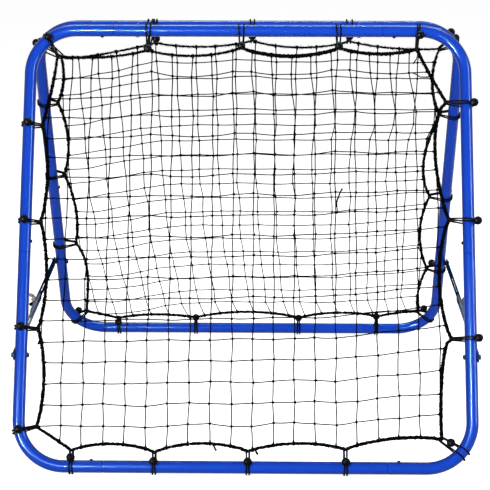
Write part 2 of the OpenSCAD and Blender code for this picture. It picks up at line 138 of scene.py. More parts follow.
hang_lamp("front_softbox", (-1.0, -3.9, 2.0), (0, 0, 1.2), (1.1, 1.5), 45, 100)
hang_lamp("side_softbox", (3.3, -1.4, 2.0), (0, 0, 0.5), (0.45, 2.0), 46)
hang_lamp("top_strip", (0.2, 1.3, 2.9), (0, 0, 0.85), (2.8, 0.3), 45)
hang_lamp("rim_glint", (0.2, 1.3, 2.9), (0, 0, 0.85), (2.8, 0.3), 520,
          glint=True, colour=(0.5, 0.9, 1))
for name, place, aim, size, watts, beam in (
    ("side_glint", (3.3, -1.15, 2.0), (0, 0, 0.5), (0.4, 2.4), 240, 180),
    ("top_bar_glint", (-0.73, -3.9, 1.5), (-0.34, 0, 0.85), (0.22, 0.6), 9, 20),
    ("low_bar_glint", (-0.83, -3.9, 1.2), (-0.36, -0.43, 0.02), (0.13, 0.6), 1.7, 12),
    ("left_glint", (-2.05, -2.3, 0.95), (-0.46, -0.42, 0.05), (0.2, 1.1), 8, 26),
    ("right_glint", (-0.9, -3.77, 2.6), (0.5, -0.42, 0.0), (0.22, 0.4), 4.2, 12),
    ("corner_glint", (-1.75, -2.4, 0.95), (0.44, -0.05, 0.83), (1.1, 1.2), 100, 40),
):
    hang_lamp(name, place, aim, size, watts, beam, glint=True)


# ---------------------------------------------------------------- frame tubes
# Round steel tube in blue powder coat: a thick, even, glossy skin with a faint orange peel. The
# straight bars and the bent corners plug into each other, and buttons lock them.


def shader_group(name, inputs, outputs):
    """An empty node group with named sockets, and its two end nodes."""
    group = bpy.data.node_groups.new(name, "ShaderNodeTree")
    for socket, value in inputs.items():
        made = group.interface.new_socket(socket, in_out="INPUT", socket_type="NodeSocketFloat")
        made.default_value = value
    for socket in outputs:
        group.interface.new_socket(socket, in_out="OUTPUT", socket_type="NodeSocketFloat")
    return group, group.nodes.new("NodeGroupInput"), group.nodes.new("NodeGroupOutput")


# Uneven skin, for paint, plating and moulded plastic: slow drifts of shade over the surface
# and a fine grain in its height.
skin, skin_in, skin_out = shader_group(
    "uneven_skin", {"Drift": 9.0, "Grain": 650.0}, ("Shade", "Height"))
position = add_node(skin, "ShaderNodeTexCoord")
drift = add_node(skin, "ShaderNodeTexNoise", {"Detail": 3.0, "Roughness": 0.6})
grain = add_node(skin, "ShaderNodeTexNoise", {"Detail": 2.0, "Roughness": 0.5})
skin.links.new(position.outputs["Object"], drift.inputs["Vector"])
skin.links.new(position.outputs["Object"], grain.inputs["Vector"])
skin.links.new(skin_in.outputs["Drift"], drift.inputs["Scale"])
skin.links.new(skin_in.outputs["Grain"], grain.inputs["Scale"])
skin.links.new(drift.outputs["Fac"], skin_out.inputs["Shade"])
skin.links.new(grain.outputs["Fac"], skin_out.inputs["Height"])


def new_finish(name, roughness, **sockets):
    """A material with a Principled shader; sockets are set by name, with _ for a space."""
    made = bpy.data.materials.new(name)
    made.use_nodes = True
    shader = made.node_tree.nodes["Principled BSDF"]
    shader.inputs["Roughness"].default_value = roughness
    for socket, value in sockets.items():
        shader.inputs[socket.replace("_", " ")].default_value = value
    return made, made.node_tree, shader


def two_tones(tree, mask, dark, light, shader):
    """Colours the shader between two shades by a mask."""
    mix = add_node(tree, "ShaderNodeMix", data_type="RGBA")
    mix.inputs["A"].default_value = (*dark, 1)
    mix.inputs["B"].default_value = (*light, 1)
    tree.links.new(mask, mix.inputs["Factor"])
    tree.links.new(mix.outputs["Result"], shader.inputs["Base Color"])


def paint_rim_shade(tree, shader, edge):
    """Paints shade: darkens the colour to a share of itself where the surface turns from the eye.
    """
    colour = shader.inputs["Base Color"].links[0].from_socket
    facing = add_node(tree, "ShaderNodeLayerWeight", {"Blend": 0.5})
    share = add_node(tree, "ShaderNodeMapRange", {"From Max": 0.75, "To Min": 1.0, "To Max": edge})
    mix = add_node(tree, "ShaderNodeMix", data_type="RGBA", blend_type="MULTIPLY")
    mix.inputs["Factor"].default_value = 1.0
    tree.links.new(facing.outputs["Facing"], share.inputs["Value"])
    tree.links.new(colour, mix.inputs["A"])
    tree.links.new(share.outputs["Result"], mix.inputs["B"])
    tree.links.new(mix.outputs["Result"], shader.inputs["Base Color"])


def grade(tree, axis, middle, soft, low, high, socket):
    """Runs a socket from low to high along an axis, soft metres either side of the middle."""
    position = add_node(tree, "ShaderNodeTexCoord")
    split = add_node(tree, "ShaderNodeSeparateXYZ")
    spread = add_node(tree, "ShaderNodeMapRange", {
        "From Min": middle - soft, "From Max": middle + soft, "To Min": low, "To Max": high})
    tree.links.new(position.outputs["Object"], split.inputs[0])
    tree.links.new(split.outputs[axis], spread.inputs["Value"])
    tree.links.new(spread.outputs["Result"], socket)


def roughen(tree, mask, low, high, shader):
    """Spreads the roughness between two values by a mask."""
    spread = add_node(tree, "ShaderNodeMapRange", {"To Min": low, "To Max": high})
    tree.links.new(mask, spread.inputs["Value"])
    tree.links.new(spread.outputs["Result"], shader.inputs["Roughness"])


def emboss(tree, height, strength, depth, shader):
    """Gives the shader a bump of a depth in metres."""
    bump = add_node(tree, "ShaderNodeBump", {"Strength": strength, "Distance": depth})
    tree.links.new(height, bump.inputs["Height"])
    tree.links.new(bump.outputs["Normal"], shader.inputs["Normal"])


def place_group(tree, group, **values):
    """Puts a node group into a material with its own values."""
    placed = add_node(tree, "ShaderNodeGroup", node_tree=group)
    for socket, value in values.items():
        placed.inputs[socket].default_value = value
    return placed


blue_coat, tree, shader = new_finish("blue_powder_coat", 0.14, Specular_IOR_Level=0.14,
                                     Specular_Tint=(0.36, 0.62, 1, 1))
coat = place_group(tree, skin, Drift=7.0, Grain=420.0)
two_tones(tree, coat.outputs["Shade"], (0.006, 0.058, 0.56), (0.009, 0.068, 0.64), shader)
# painted shade: the coat darkens towards the tubes' outlines, where they turn from the eye
paint_rim_shade(tree, shader, 0.34)
roughen(tree, coat.outputs["Shade"], 0.11, 0.18, shader)
emboss(tree, coat.outputs["Height"], 0.02, 0.00002, shader)

# the same coat on the braces' flat bars, painted far darker as shade: they turn from the light
shaded_bar_coat, tree, shader = new_finish("blue_coat_painted_shade_flats", 0.4, Specular_Tint=(0.5, 0.75, 1, 1))
grade(tree, "Y", 0.03, 0.03, 0.14, 0.0, shader.inputs["Specular IOR Level"])
coat = place_group(tree, skin, Drift=7.0, Grain=420.0)
# painted shade: these colours are far darker than the tubes' coat
two_tones(tree, coat.outputs["Shade"], (0.001, 0.012, 0.05), (0.003, 0.022, 0.09), shader)
roughen(tree, coat.outputs["Shade"], 0.32, 0.5, shader)
emboss(tree, coat.outputs["Height"], 0.2, 0.00002, shader)


def coat_node(name, material):
    """Gives a solid of the frame its finish."""
    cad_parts[name].material_slots[0].material = material


FACES = ("front", "rear")
PLACES = ("top_bar", "upper_corner_left", "upper_corner_right",
          "lower_corner_left", "lower_corner_right", "bottom_bar")
for face in FACES:
    for place in PLACES:
        coat_node(f"{face}_{place}", blue_coat)


# ---------------------------------------------------------------- hinge
# Flat steel plates welded across the top bars: a pair of cheeks on the front bar, a tongue
# between them on the rear one. The weld beads are painted over with the rest.

LEAN = math.radians(27.4)
HALF_WIDTH, HEIGHT = 0.467, 0.939       # between the tubes' axes
TUBE_RADIUS = 0.013
AIR = 0.0003                            # between pieces that move or lie side by side
TOP_GAP = 0.068                         # between the axes of the two top bars
FOOT = 0.0163                           # the bottom bars' axes above the ground
TOP_HEIGHT = FOOT + HEIGHT * math.cos(LEAN)
PIN_HEIGHT = TOP_HEIGHT - 0.01
HINGE_X = 0.241
CHEEK, TONGUE = 0.0025, 0.0028
CHEEK_X = TONGUE / 2 + AIR + CHEEK / 2
END_RADIUS, PIN_HOLE, BEAD = 0.01, 0.00302, 0.0019


def draw_line(curve, points, closed):
    """Adds straight lines through the points to a curve, and gives the spline."""
    spline = curve.splines.new("POLY")
    spline.points.add(len(points) - 1)
    spline.use_cyclic_u = closed
    for place, point in zip(points, spline.points):
        point.co = (*place, 1)
    return spline


def make_mesh(curve):
    """Turns a curve into a mesh object, selected and active."""
    made = bpy.data.objects.new(curve.name, curve)
    bpy.context.collection.objects.link(made)
    bpy.ops.object.select_all(action="DESELECT")
    made.select_set(True)
    bpy.context.view_layer.objects.active = made
    bpy.ops.object.convert(target="MESH")
    return bpy.context.object


def merge_and_smooth(soften):
    """Merges the active mesh's doubles and smooths edges that are flatter than soften degrees."""
    bpy.ops.object.mode_set(mode="EDIT")
    bpy.ops.mesh.select_all(action="SELECT")
    bpy.ops.mesh.remove_doubles(threshold=1e-6)
    bpy.ops.mesh.normals_make_consistent(inside=False)
    bpy.ops.object.mode_set(mode="OBJECT")
    bpy.ops.object.shade_smooth_by_angle(angle=math.radians(soften))


def lay_lines(name, lines, thickness, sides=6):
    """Makes one mesh of round cords; a line is (points, closed) or (points, closed, swells)."""
    curve = bpy.data.curves.new(name, "CURVE")
    curve.dimensions = "3D"
    curve.bevel_depth = thickness / 2
    curve.bevel_resolution = (sides - 4) // 2
    curve.use_fill_caps = True
    for points, closed, *swells in lines:
        spline = draw_line(curve, points, closed)
        if swells:
            for point, swell in zip(spline.points, swells[0]):
                point.radius = swell
    made = make_mesh(curve)
    merge_and_smooth(80)
    return made


def cut_plate(name, outline, holes, thickness, rounding):
    """A flat plate in the XY plane about z = 0, with rounded edges."""
    curve = bpy.data.curves.new(name, "CURVE")
    curve.dimensions = "2D"
    curve.fill_mode = "BOTH"
    curve.extrude = thickness / 2 - rounding
    curve.bevel_depth = rounding
    curve.bevel_resolution = 2
    curve.offset = -rounding
    for points in [outline] + holes:
        draw_line(curve, [(x, y, 0) for x, y in points], True)
    made = make_mesh(curve)
    merge_and_smooth(25)
    return made


def round_points(centre, radius, start, end, count):
    """Points of an arc in degrees about a flat centre."""
    turns = [math.radians(start + (end - start) * i / count) for i in range(count + 1)]
    return [(centre[0] + radius * math.cos(turn), centre[1] + radius * math.sin(turn))
            for turn in turns]


def stand_up(plate, x, y=0.0, z=0.0, way=1):
    """Stands a flat plate up square to X: its X runs along way times Y, its Y along Z."""
    plate.data.transform(Matrix(((0, 0, way, x), (way, 0, 0, y), (0, 1, 0, z), (0, 0, 0, 1))))


def join_all(name, parts):
    """Joins meshes into one object."""
    bpy.ops.object.select_all(action="DESELECT")
    for part in parts:
        part.select_set(True)
    bpy.context.view_layer.objects.active = parts[0]
    bpy.ops.object.join()
    joined = bpy.context.object
    joined.name = name
    return joined


def hand_over(piece, material, slot, body, *nodes):
    """Gives a finished piece its material and its body, and hides the solids that it stands for.
    """
    piece.data.materials.clear()
    piece.data.materials.append(material)
    if nodes:
        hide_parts(*nodes)
    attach(piece, body)


# A plate's edge goes round the pin, wrap degrees to either side of the way out from the bar,
# then straight to the tube and along inside its wall. The beads lie on that wall.
bar_axis = (-TOP_GAP / 2, TOP_HEIGHT)
pin_way = math.degrees(math.atan2(PIN_HEIGHT - TOP_HEIGHT, TOP_GAP / 2))
to_pin = math.hypot(PIN_HEIGHT - TOP_HEIGHT, TOP_GAP / 2)
wrap = math.degrees(math.acos((TUBE_RADIUS - 0.001 - END_RADIUS) / to_pin))
plate_edge = (round_points((0, PIN_HEIGHT), END_RADIUS, pin_way - wrap, pin_way + wrap, 28)
              + round_points(bar_axis, TUBE_RADIUS - 0.0003, pin_way + 70, pin_way - 70, 20))
seam = round_points(bar_axis, TUBE_RADIUS + 0.0002, pin_way - 66, pin_way + 66, 48)
pin_hole = round_points((0, PIN_HEIGHT), PIN_HOLE, 0, 345, 23)
for node, body, thickness, offsets, way in (
    ("hinge_cheeks", "front_frame", CHEEK, (-CHEEK_X, CHEEK_X), 1),
    ("hinge_tongues", "rear_frame", TONGUE, (0,), -1),
):
    parts, beads = [], []
    for x in [hand * HINGE_X + offset for hand in (-1, 1) for offset in offsets]:
        plate = cut_plate(node, plate_edge, [pin_hole], thickness, 0.0004)
        stand_up(plate, x, way=way)
        parts.append(plate)
        for wall in (-1, 1):
            beads.append(([(x + wall * thickness / 2, way * y, z) for y, z in seam], False,
                          [1 + 0.25 * math.sin(1.7 * i + x) for i in range(len(seam))]))
    parts.append(lay_lines("weld_beads", beads, BEAD))
    hinge = join_all(f"welded_{node.removeprefix('hinge_')}", parts)
    hand_over(hinge, blue_coat, "powder_coated_tube", body, node)


# ---------------------------------------------------------------- braces
# Flat steel bars with a long slot and rounded ends, stamped and then painted. The front one
# lies against the frame's side, the rear one on top of it.

PIVOT_DROP = 0.709
PIVOT_Y = TOP_GAP / 2 + PIVOT_DROP * math.sin(LEAN)
PIVOT_HEIGHT = TOP_HEIGHT - PIVOT_DROP * math.cos(LEAN)
BAR, BAR_HEIGHT, BAR_LENGTH = 0.0025, 0.022, 0.443
SLOT, SLOT_START, SLOT_END = 0.007, 0.125, 0.433
FRONT_BAR_X = HALF_WIDTH + TUBE_RADIUS + AIR
REAR_BAR_X = FRONT_BAR_X + BAR + AIR
OUTER_X = REAR_BAR_X + BAR
PIVOT_HOLE = 0.00305
HANDS = (("left", -1), ("right", 1))

bar_edge = (round_points((BAR_LENGTH - BAR_HEIGHT / 2, 0), BAR_HEIGHT / 2, -90, 90, 24)
            + round_points((0, 0), BAR_HEIGHT / 2, 90, 270, 24))
slot_edge = (round_points((SLOT_END - SLOT / 2, 0), SLOT / 2, -90, 90, 16)
             + round_points((SLOT_START + SLOT / 2, 0), SLOT / 2, 90, 270, 16))
pivot_hole = round_points((0, 0), PIVOT_HOLE, 0, 345, 23)
for side, hand in HANDS:
    for face, x, way in (("front", FRONT_BAR_X, 1), ("rear", REAR_BAR_X, -1)):
        brace = cut_plate(f"{face}_bar_{side}", bar_edge, [slot_edge, pivot_hole], BAR, 0.0005)
        stand_up(brace, hand * (x + BAR / 2), -way * PIVOT_Y, PIVOT_HEIGHT, way)
        hand_over(brace, shaded_bar_coat, "powder_coated_tube", f"{face}_brace_{side}",
                  f"{face}_brace_{side}")


# ---------------------------------------------------------------- bolts and nuts
# Zinc-plated steel with painted shade, darker where it faces down: hex bolts and nuts at the
# hinges and pivots, carriage bolts, washers and spacers on the braces. The bolts' ends show their
# thread.

zinc, tree, shader = new_finish("zinc_plate", 0.42, Metallic=0.1, Specular_IOR_Level=0.01)
plating = place_group(tree, skin, Drift=60.0, Grain=900.0)
facing = add_node(tree, "ShaderNodeNewGeometry")
split = add_node(tree, "ShaderNodeSeparateXYZ")
# painted shade and light: the plating darkens where it faces down and lightens where it faces up
underside_shade = add_node(tree, "ShaderNodeMath", {1: 0.55}, operation="MULTIPLY_ADD", use_clamp=True)
tree.links.new(facing.outputs["Normal"], split.inputs[0])
tree.links.new(split.outputs["Z"], underside_shade.inputs[0])
tree.links.new(plating.outputs["Shade"], underside_shade.inputs[2])
two_tones(tree, underside_shade.outputs[0], (0.004, 0.005, 0.009), (0.035, 0.037, 0.045), shader)
roughen(tree, plating.outputs["Shade"], 0.36, 0.5, shader)
emboss(tree, plating.outputs["Height"], 0.3, 0.00004, shader)
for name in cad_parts:
    if any(word in name for word in ("bolt", "nut", "washer", "spacer")):
        coat_node(name, zinc)


def coil(start, end, radius, turns, steps=12):
    """Points that wind round the line from start to end."""
    axis = (end - start).normalized()
    across = axis.orthogonal().normalized()
    beside = axis.cross(across)
    count = round(turns * steps)
    points = []
    for i in range(count + 1):
        turn = 2 * math.pi * i / steps
        points.append(start.lerp(end, i / count)
                      + radius * (across * math.cos(turn) + beside * math.sin(turn)))
    return points


# The bolts end past the washer and the wing nut, or past a hex nut.
CLAMP_Y = 0.395 - PIVOT_Y
WASHER, WING_HUB, CLAMP_TIP = 0.0014, 0.008, 0.003
HINGE_TIP, PIVOT_TIP = 0.007, 0.0044
CLAMP_END = FRONT_BAR_X + 2 * BAR + AIR + WASHER + WING_HUB + CLAMP_TIP
HINGE_END = HINGE_X - CHEEK_X - CHEEK / 2 - HINGE_TIP
PIVOT_END = HALF_WIDTH - TUBE_RADIUS - PIVOT_TIP
PITCH, THREAD_RADIUS, CREST = 0.001, 0.00292, 0.0006
threads = {"front_frame": [], "rear_frame": [], "clamp_bolt_left": [], "clamp_bolt_right": []}
for side, hand in HANDS:
    for body, tip, length, y, z in (
        (f"clamp_bolt_{side}", CLAMP_END, -0.0028, CLAMP_Y, PIVOT_HEIGHT),
        ("front_frame", HINGE_END, 0.0019, 0, PIN_HEIGHT),
        ("front_frame", PIVOT_END, 0.0011, -PIVOT_Y, PIVOT_HEIGHT),
        ("rear_frame", PIVOT_END, 0.0011, PIVOT_Y, PIVOT_HEIGHT),
    ):
        ends = [Vector((hand * x, y, z)) for x in (tip + length * 0.1, tip + length)]
        threads[body].append((coil(*ends, THREAD_RADIUS, abs(length) / PITCH), False))
for body, turns in threads.items():
    hand_over(lay_lines(f"{body}_thread", turns, CREST, 4), zinc, "zinc", body)


# ---------------------------------------------------------------- wing nuts
# Cast and zinc-plated, with painted shade that darkens the lower ear: a conical hub and two
# upswept ears that flow into it. They are built from a cone and two thick plates, melted into one
# skin.

cast_zinc, tree, shader = new_finish("cast_zinc", 0.4, Metallic=0.4, Specular_IOR_Level=0.1)
plating = place_group(tree, skin, Drift=110.0, Grain=900.0)
position = add_node(tree, "ShaderNodeTexCoord")
split = add_node(tree, "ShaderNodeSeparateXYZ")
# painted shade: a few mm under the bolt's axis the colour darkens and its metal and gloss fade
raised = add_node(tree, "ShaderNodeMath", {1: PIVOT_HEIGHT - 0.0045}, operation="SUBTRACT")
low_painted_shade = add_node(tree, "ShaderNodeMath", {1: 260.0}, operation="MULTIPLY_ADD", use_clamp=True)
tree.links.new(position.outputs["Object"], split.inputs[0])
tree.links.new(split.outputs["Z"], raised.inputs[0])
tree.links.new(raised.outputs[0], low_painted_shade.inputs[0])
tree.links.new(plating.outputs["Shade"], low_painted_shade.inputs[2])
two_tones(tree, low_painted_shade.outputs[0], (0.003, 0.003, 0.004), (0.07, 0.066, 0.058), shader)
for socket, bare in (("Metallic", 0.4), ("Specular IOR Level", 0.1)):
    share = add_node(tree, "ShaderNodeMath", {1: bare}, operation="MULTIPLY")
    tree.links.new(low_painted_shade.outputs[0], share.inputs[0])
    tree.links.new(share.outputs[0], shader.inputs[socket])
emboss(tree, plating.outputs["Height"], 0.4, 0.00005, shader)

WING_X = OUTER_X + 0.0015
EAR, EAR_ROUNDING = 0.0028, 0.0011
ear_edge = ([(0.0025, 0.0006), (0.0062, 0.0008), (0.0098, 0.003), (0.0138, 0.0074)]
            + round_points((0.0114, 0.012), 0.0046, -45, 150, 16)
            + [(0.0062, 0.0118), (0.0042, 0.0088), (0.002, 0.0078)])
for side, hand in HANDS:
    bpy.ops.object.select_all(action="DESELECT")
    bpy.ops.mesh.primitive_cone_add(vertices=40, radius1=0.0058, radius2=0.0045,
                                    depth=WING_HUB, location=(0, WING_HUB / 2, 0),
                                    rotation=(-math.pi / 2, 0, 0))
    bpy.ops.object.transform_apply(location=True, rotation=True)
    parts = [bpy.context.object]
    for turn in (0, math.pi):
        ear = cut_plate("ear", ear_edge, [], EAR, EAR_ROUNDING)
        ear.data.transform(Matrix.Rotation(turn, 4, "Y"))
        parts.append(ear)
    wing = join_all(f"cast_wing_nut_{side}", parts)
    melt = wing.modifiers.new("melt", "REMESH")
    melt.mode = "VOXEL"
    melt.voxel_size = 0.00035
    settle = wing.modifiers.new("settle", "SMOOTH")
    settle.factor = 0.6
    settle.iterations = 7
    bpy.ops.object.modifier_apply(modifier="melt")
    bpy.ops.object.modifier_apply(modifier="settle")
    bpy.ops.object.shade_smooth()
    # the nut's Y is the bolt's axis, away from the bars, and its X points up
    wing.data.transform(Matrix(((0, hand, 0, hand * WING_X), (0, 0, 1, CLAMP_Y),
                                (1, 0, 0, PIVOT_HEIGHT), (0, 0, 0, 1))))
    if hand < 0:
        wing.data.flip_normals()
    hand_over(wing, cast_zinc, "zinc", f"wing_nut_{side}", f"wing_nut_{side}")


# ---------------------------------------------------------------- spring buttons
# Turned steel studs with a domed end, dark blue-black all over. A leaf spring inside the
# tube pushes each one out through the holes of both pieces.

blued, tree, shader = new_finish("blued_steel", 0.4, Metallic=0.2, Specular_IOR_Level=0.03)
button_mottle = place_group(tree, skin, Drift=90.0, Grain=1100.0)
two_tones(tree, button_mottle.outputs["Shade"], (0.003, 0.005, 0.02), (0.008, 0.012, 0.04), shader)
roughen(tree, button_mottle.outputs["Shade"], 0.26, 0.4, shader)
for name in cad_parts:
    if "button" in name:
        coat_node(name, blued)


# ---------------------------------------------------------------- border ropes
# A laid rope of three hairy strands runs round each net, pulled out to a point at every
# elastic cord and slack in between.

ROPE_RADIUS = 0.003
BEND_RADIUS = 0.096
RESTING = 0.0233        # from a tube's axis to the middle of a ball that lies on the tube


def on_frame(face, x, drop, out=0.0):
    """A point of a frame: x to the right, drop below the top bar, out from its outer face."""
    across = TOP_GAP / 2 + drop * math.sin(LEAN) + out * math.cos(LEAN)
    height = TOP_HEIGHT - drop * math.cos(LEAN) + out * math.sin(LEAN)
    return Vector((x, -across if face == "front" else across, height))


# A cord holds the rope from a place on the tube: x, drop, the way it pulls in degrees (0 to the
# right, 90 down), its length to the rope, its ball (angle round the tube and distance), the
# depth of the rope's bow to the next cord, the slope of the pull to the tube, and how far
# along the tube the rope is drawn aside.


def on_top(x, reach, tilt, ball, far, bow):
    """A cord on the top bar; the tilt turns its pull from straight down."""
    return (x, 0, 90 + tilt, reach, ball, far, bow, -math.tan(math.radians(tilt)), 0)


def on_bottom(x, reach, ball, far, bow):
    """A cord on the bottom bar, which pulls straight up."""
    return (x, HEIGHT, -90, reach, ball, far, bow, 0, 0)


def on_left(drop, reach, tilt, ball, far, bow):
    """A cord on the left side tube; the tilt turns its pull down."""
    return (-HALF_WIDTH, drop, tilt, reach, ball, far, bow, -math.tan(math.radians(tilt)), 0)


def on_right(drop, reach, tilt, ball, far, bow):
    """A cord on the right side tube; the tilt turns its pull down."""
    return (HALF_WIDTH, drop, 180 - tilt, reach, ball, far, bow, math.tan(math.radians(tilt)), 0)


def on_bend(right, low, turn, reach, ball, far, bow, aside=0):
    """A cord on a bend (right and low are 1 or -1), turn degrees from its side tube."""
    out_x = right * math.cos(math.radians(turn))
    out_drop = low * math.sin(math.radians(turn))
    middle_drop = BEND_RADIUS if low < 0 else HEIGHT - BEND_RADIUS
    return (right * (HALF_WIDTH - BEND_RADIUS) + BEND_RADIUS * out_x,
            middle_drop + BEND_RADIUS * out_drop,
            math.degrees(math.atan2(-out_drop, -out_x)), reach, ball, far, bow, 0, aside)


CORDS = {
    "front": [
        on_bend(-1, -1, 52, 0.0401, 85, RESTING, 0.011, -0.0069),
        on_top(-0.215, 0.043, 0, 17, 0.047, 0.017),
        on_top(-0.0142, 0.037, 0, 19.5, 0.0403, 0.02),
        on_top(0.1955, 0.037, 0, 19.5, 0.0403, 0.013),
        on_top(0.367, 0.04, 5.7, 52, RESTING, 0.002),
        on_right(0.163, 0.042, -4.1, 132, RESTING, 0.027),
        on_right(0.42, 0.04, -4.3, 142, RESTING, 0.024),
        on_right(0.671, 0.039, 0, 130, RESTING, 0.0135),
        on_bend(1, 1, 41, 0.0465, 13, 0.03, 0.013, 0.0066),
        on_bottom(0.206, 0.037, 64, RESTING, 0.015),
        on_bottom(0.006, 0.032, 66, RESTING, 0.018),
        on_bottom(-0.186, 0.029, 66, RESTING, 0.016),
        on_bottom(-0.356, 0.032, 43, RESTING, 0.001),
        on_bend(-1, 1, 14, 0.034, 90, RESTING, 0.015),
        on_left(0.652, 0.033, 3.5, 90, RESTING, 0.016),
        on_left(0.424, 0.031, 3.7, 90, RESTING, 0.014),
        on_left(0.212, 0.028, 4.1, 90, RESTING, 0.004),
    ],
    "rear": [
        on_bend(-1, -1, 28, 0.0449, -144, RESTING, 0.012, -0.01),
        on_top(-0.204, 0.044, 0, -15, 0.029, 0.0145),
        on_top(0.0085, 0.0375, 0, -62, RESTING, 0.0185),
        on_top(0.2215, 0.0385, 0, -62, RESTING, 0.01),
        on_bend(1, -1, 35.1, 0.03, 102, RESTING, 0.018),
        on_right(0.244, 0.031, -3.7, 100, RESTING, 0.025),
        on_right(0.492, 0.037, -1.5, 111, RESTING, 0.022),
        on_right(0.7275, 0.029, -3, 48, 0.026, 0.011),
        on_bend(1, 1, 33.4, 0.0325, 60, 0.026, 0.005),
        on_bottom(0.32, 0.042, 26, 0.032, 0.017),
        on_bottom(0.122, 0.036, 28, 0.027, 0.022),
        on_bottom(-0.14, 0.035, 28, 0.027, 0.013),
        on_bottom(-0.336, 0.033, -24, 0.036, 0.001),
        on_bend(-1, 1, 40.9, 0.0365, 80, 0.025, 0.018),
        on_left(0.65, 0.039, -2.9, 98, RESTING, 0.015),
        on_left(0.428, 0.027, -2.1, 98, RESTING, 0.018),
        on_left(0.212, 0.029, 3.9, 98, RESTING, 0.011),
    ],
}


# Spans whose bow is deepest away from their middle: the share of the span where it is.
DEEPEST = {("front", 5): 0.4, ("front", 7): 0.28, ("rear", 0): 0.27, ("rear", 5): 0.58,
           ("rear", 13): 0.64}


def rope_points(face, steps):
    """The rope's axis as flat points (x, drop), with steps to each span between cords."""
    nodes = []
    for x, drop, way, reach, *_, aside in CORDS[face]:
        run, fall = math.cos(math.radians(way)), math.sin(math.radians(way))
        nodes.append(Vector((x + reach * run + aside * fall, drop + reach * fall - aside * run)))
    points = []
    for i, (here, there) in enumerate(zip(nodes, nodes[1:] + nodes[:1])):
        depth, lean = CORDS[face][i][6], math.log(0.5) / math.log(DEEPEST.get((face, i), 0.5))
        span = there - here
        inward = Vector((-span.y, span.x)).normalized()
        for step in range(steps):
            share = step / steps
            points.append(here + span * share
                          + inward * depth * math.sin(math.pi * share ** lean) ** 0.7)
    return points


def ramp(value, start, end):
    """Rises from 0 at start to 1 at end."""
    return min(1.0, max(0.0, (value - start) / (end - start)))


def even_points(points, gap):
    """Walks round a closed line and sets points on it at an even distance near gap."""
    ring = points + points[:1]
    lengths = [(b - a).length for a, b in zip(ring, ring[1:])]
    total = sum(lengths)
    count = round(total / gap)
    even, passed, leg = [], 0.0, 0
    for i in range(count):
        at = total * i / count
        while passed + lengths[leg] < at:
            passed += lengths[leg]
            leg += 1
        even.append(ring[leg].lerp(ring[leg + 1], (at - passed) / lengths[leg]))
    return even


# Fibre, for twisted and braided cord: fine streaks in shade and height, crossed by the
# diagonal ridges of its twist.
fibre, fibre_in, fibre_out = shader_group(
    "fibre", {"Fineness": 900.0, "Ridges": 300.0}, ("Shade", "Height"))
position = add_node(fibre, "ShaderNodeTexCoord")
hair = add_node(fibre, "ShaderNodeTexNoise",
                {"Detail": 4.0, "Roughness": 0.7, "Distortion": 0.8})
twist = add_node(fibre, "ShaderNodeTexWave",
                 {"Distortion": 2.0, "Detail": 1.0, "Detail Scale": 2.0},
                 bands_direction="DIAGONAL")
weave = add_node(fibre, "ShaderNodeMath", {1: 0.5}, operation="MULTIPLY_ADD")
half_hair = add_node(fibre, "ShaderNodeMath", {1: 0.5}, operation="MULTIPLY")
fibre.links.new(position.outputs["Object"], hair.inputs["Vector"])
fibre.links.new(position.outputs["Object"], twist.inputs["Vector"])
fibre.links.new(fibre_in.outputs["Fineness"], hair.inputs["Scale"])
fibre.links.new(fibre_in.outputs["Ridges"], twist.inputs["Scale"])
fibre.links.new(hair.outputs["Fac"], half_hair.inputs[0])
fibre.links.new(twist.outputs["Fac"], weave.inputs[0])
fibre.links.new(half_hair.outputs[0], weave.inputs[2])
fibre.links.new(hair.outputs["Fac"], fibre_out.inputs["Shade"])
fibre.links.new(weave.outputs[0], fibre_out.inputs["Height"])


def new_yarn(name, roughness, dark, light, fineness, ridges, depth):
    """A matt fibrous material between two shades."""
    made, tree, shader = new_finish(name, roughness, Specular_IOR_Level=0.0)
    yarn = place_group(tree, fibre, Fineness=fineness, Ridges=ridges)
    two_tones(tree, yarn.outputs["Shade"], dark, light, shader)
    emboss(tree, yarn.outputs["Height"], 0.8, depth, shader)
    return made


rope_yarn = new_yarn("rope_yarn", 0.9, (0.001, 0.001, 0.001), (0.006, 0.006, 0.007),
                     700, 500, 0.0003)
ROPE_PITCH = 0.0155
STEPS_PER_TURN = 8
STRAND, STRAND_AXIS = 0.0033, 0.0021    # a strand's thickness, and its axis from the rope's
HAIRS, HAIR, HAIR_ROOT = 3600, 0.0006, 0.0027


def plumpness(face, place):
    """How thick a rope is: drawn thin along the top.

    The front one is plump at its sides, and slack right of the middle of its top.
    """
    top_run = 1 - ramp(place.y, 0.07, 0.1)
    if face == "rear":
        return 1 - 0.28 * top_run
    beside = ramp(place.y, 0.1, 0.2) * max(1 - ramp(place.y, 0.84, 0.86),
                                           ramp(place.x, 0.22, 0.3))
    slack = 0.4 * ramp(place.x, -0.03, 0.01) - 0.12 * ramp(place.x, 0.17, 0.21)
    return 1 + 0.14 * beside + top_run * (-0.15 + slack)


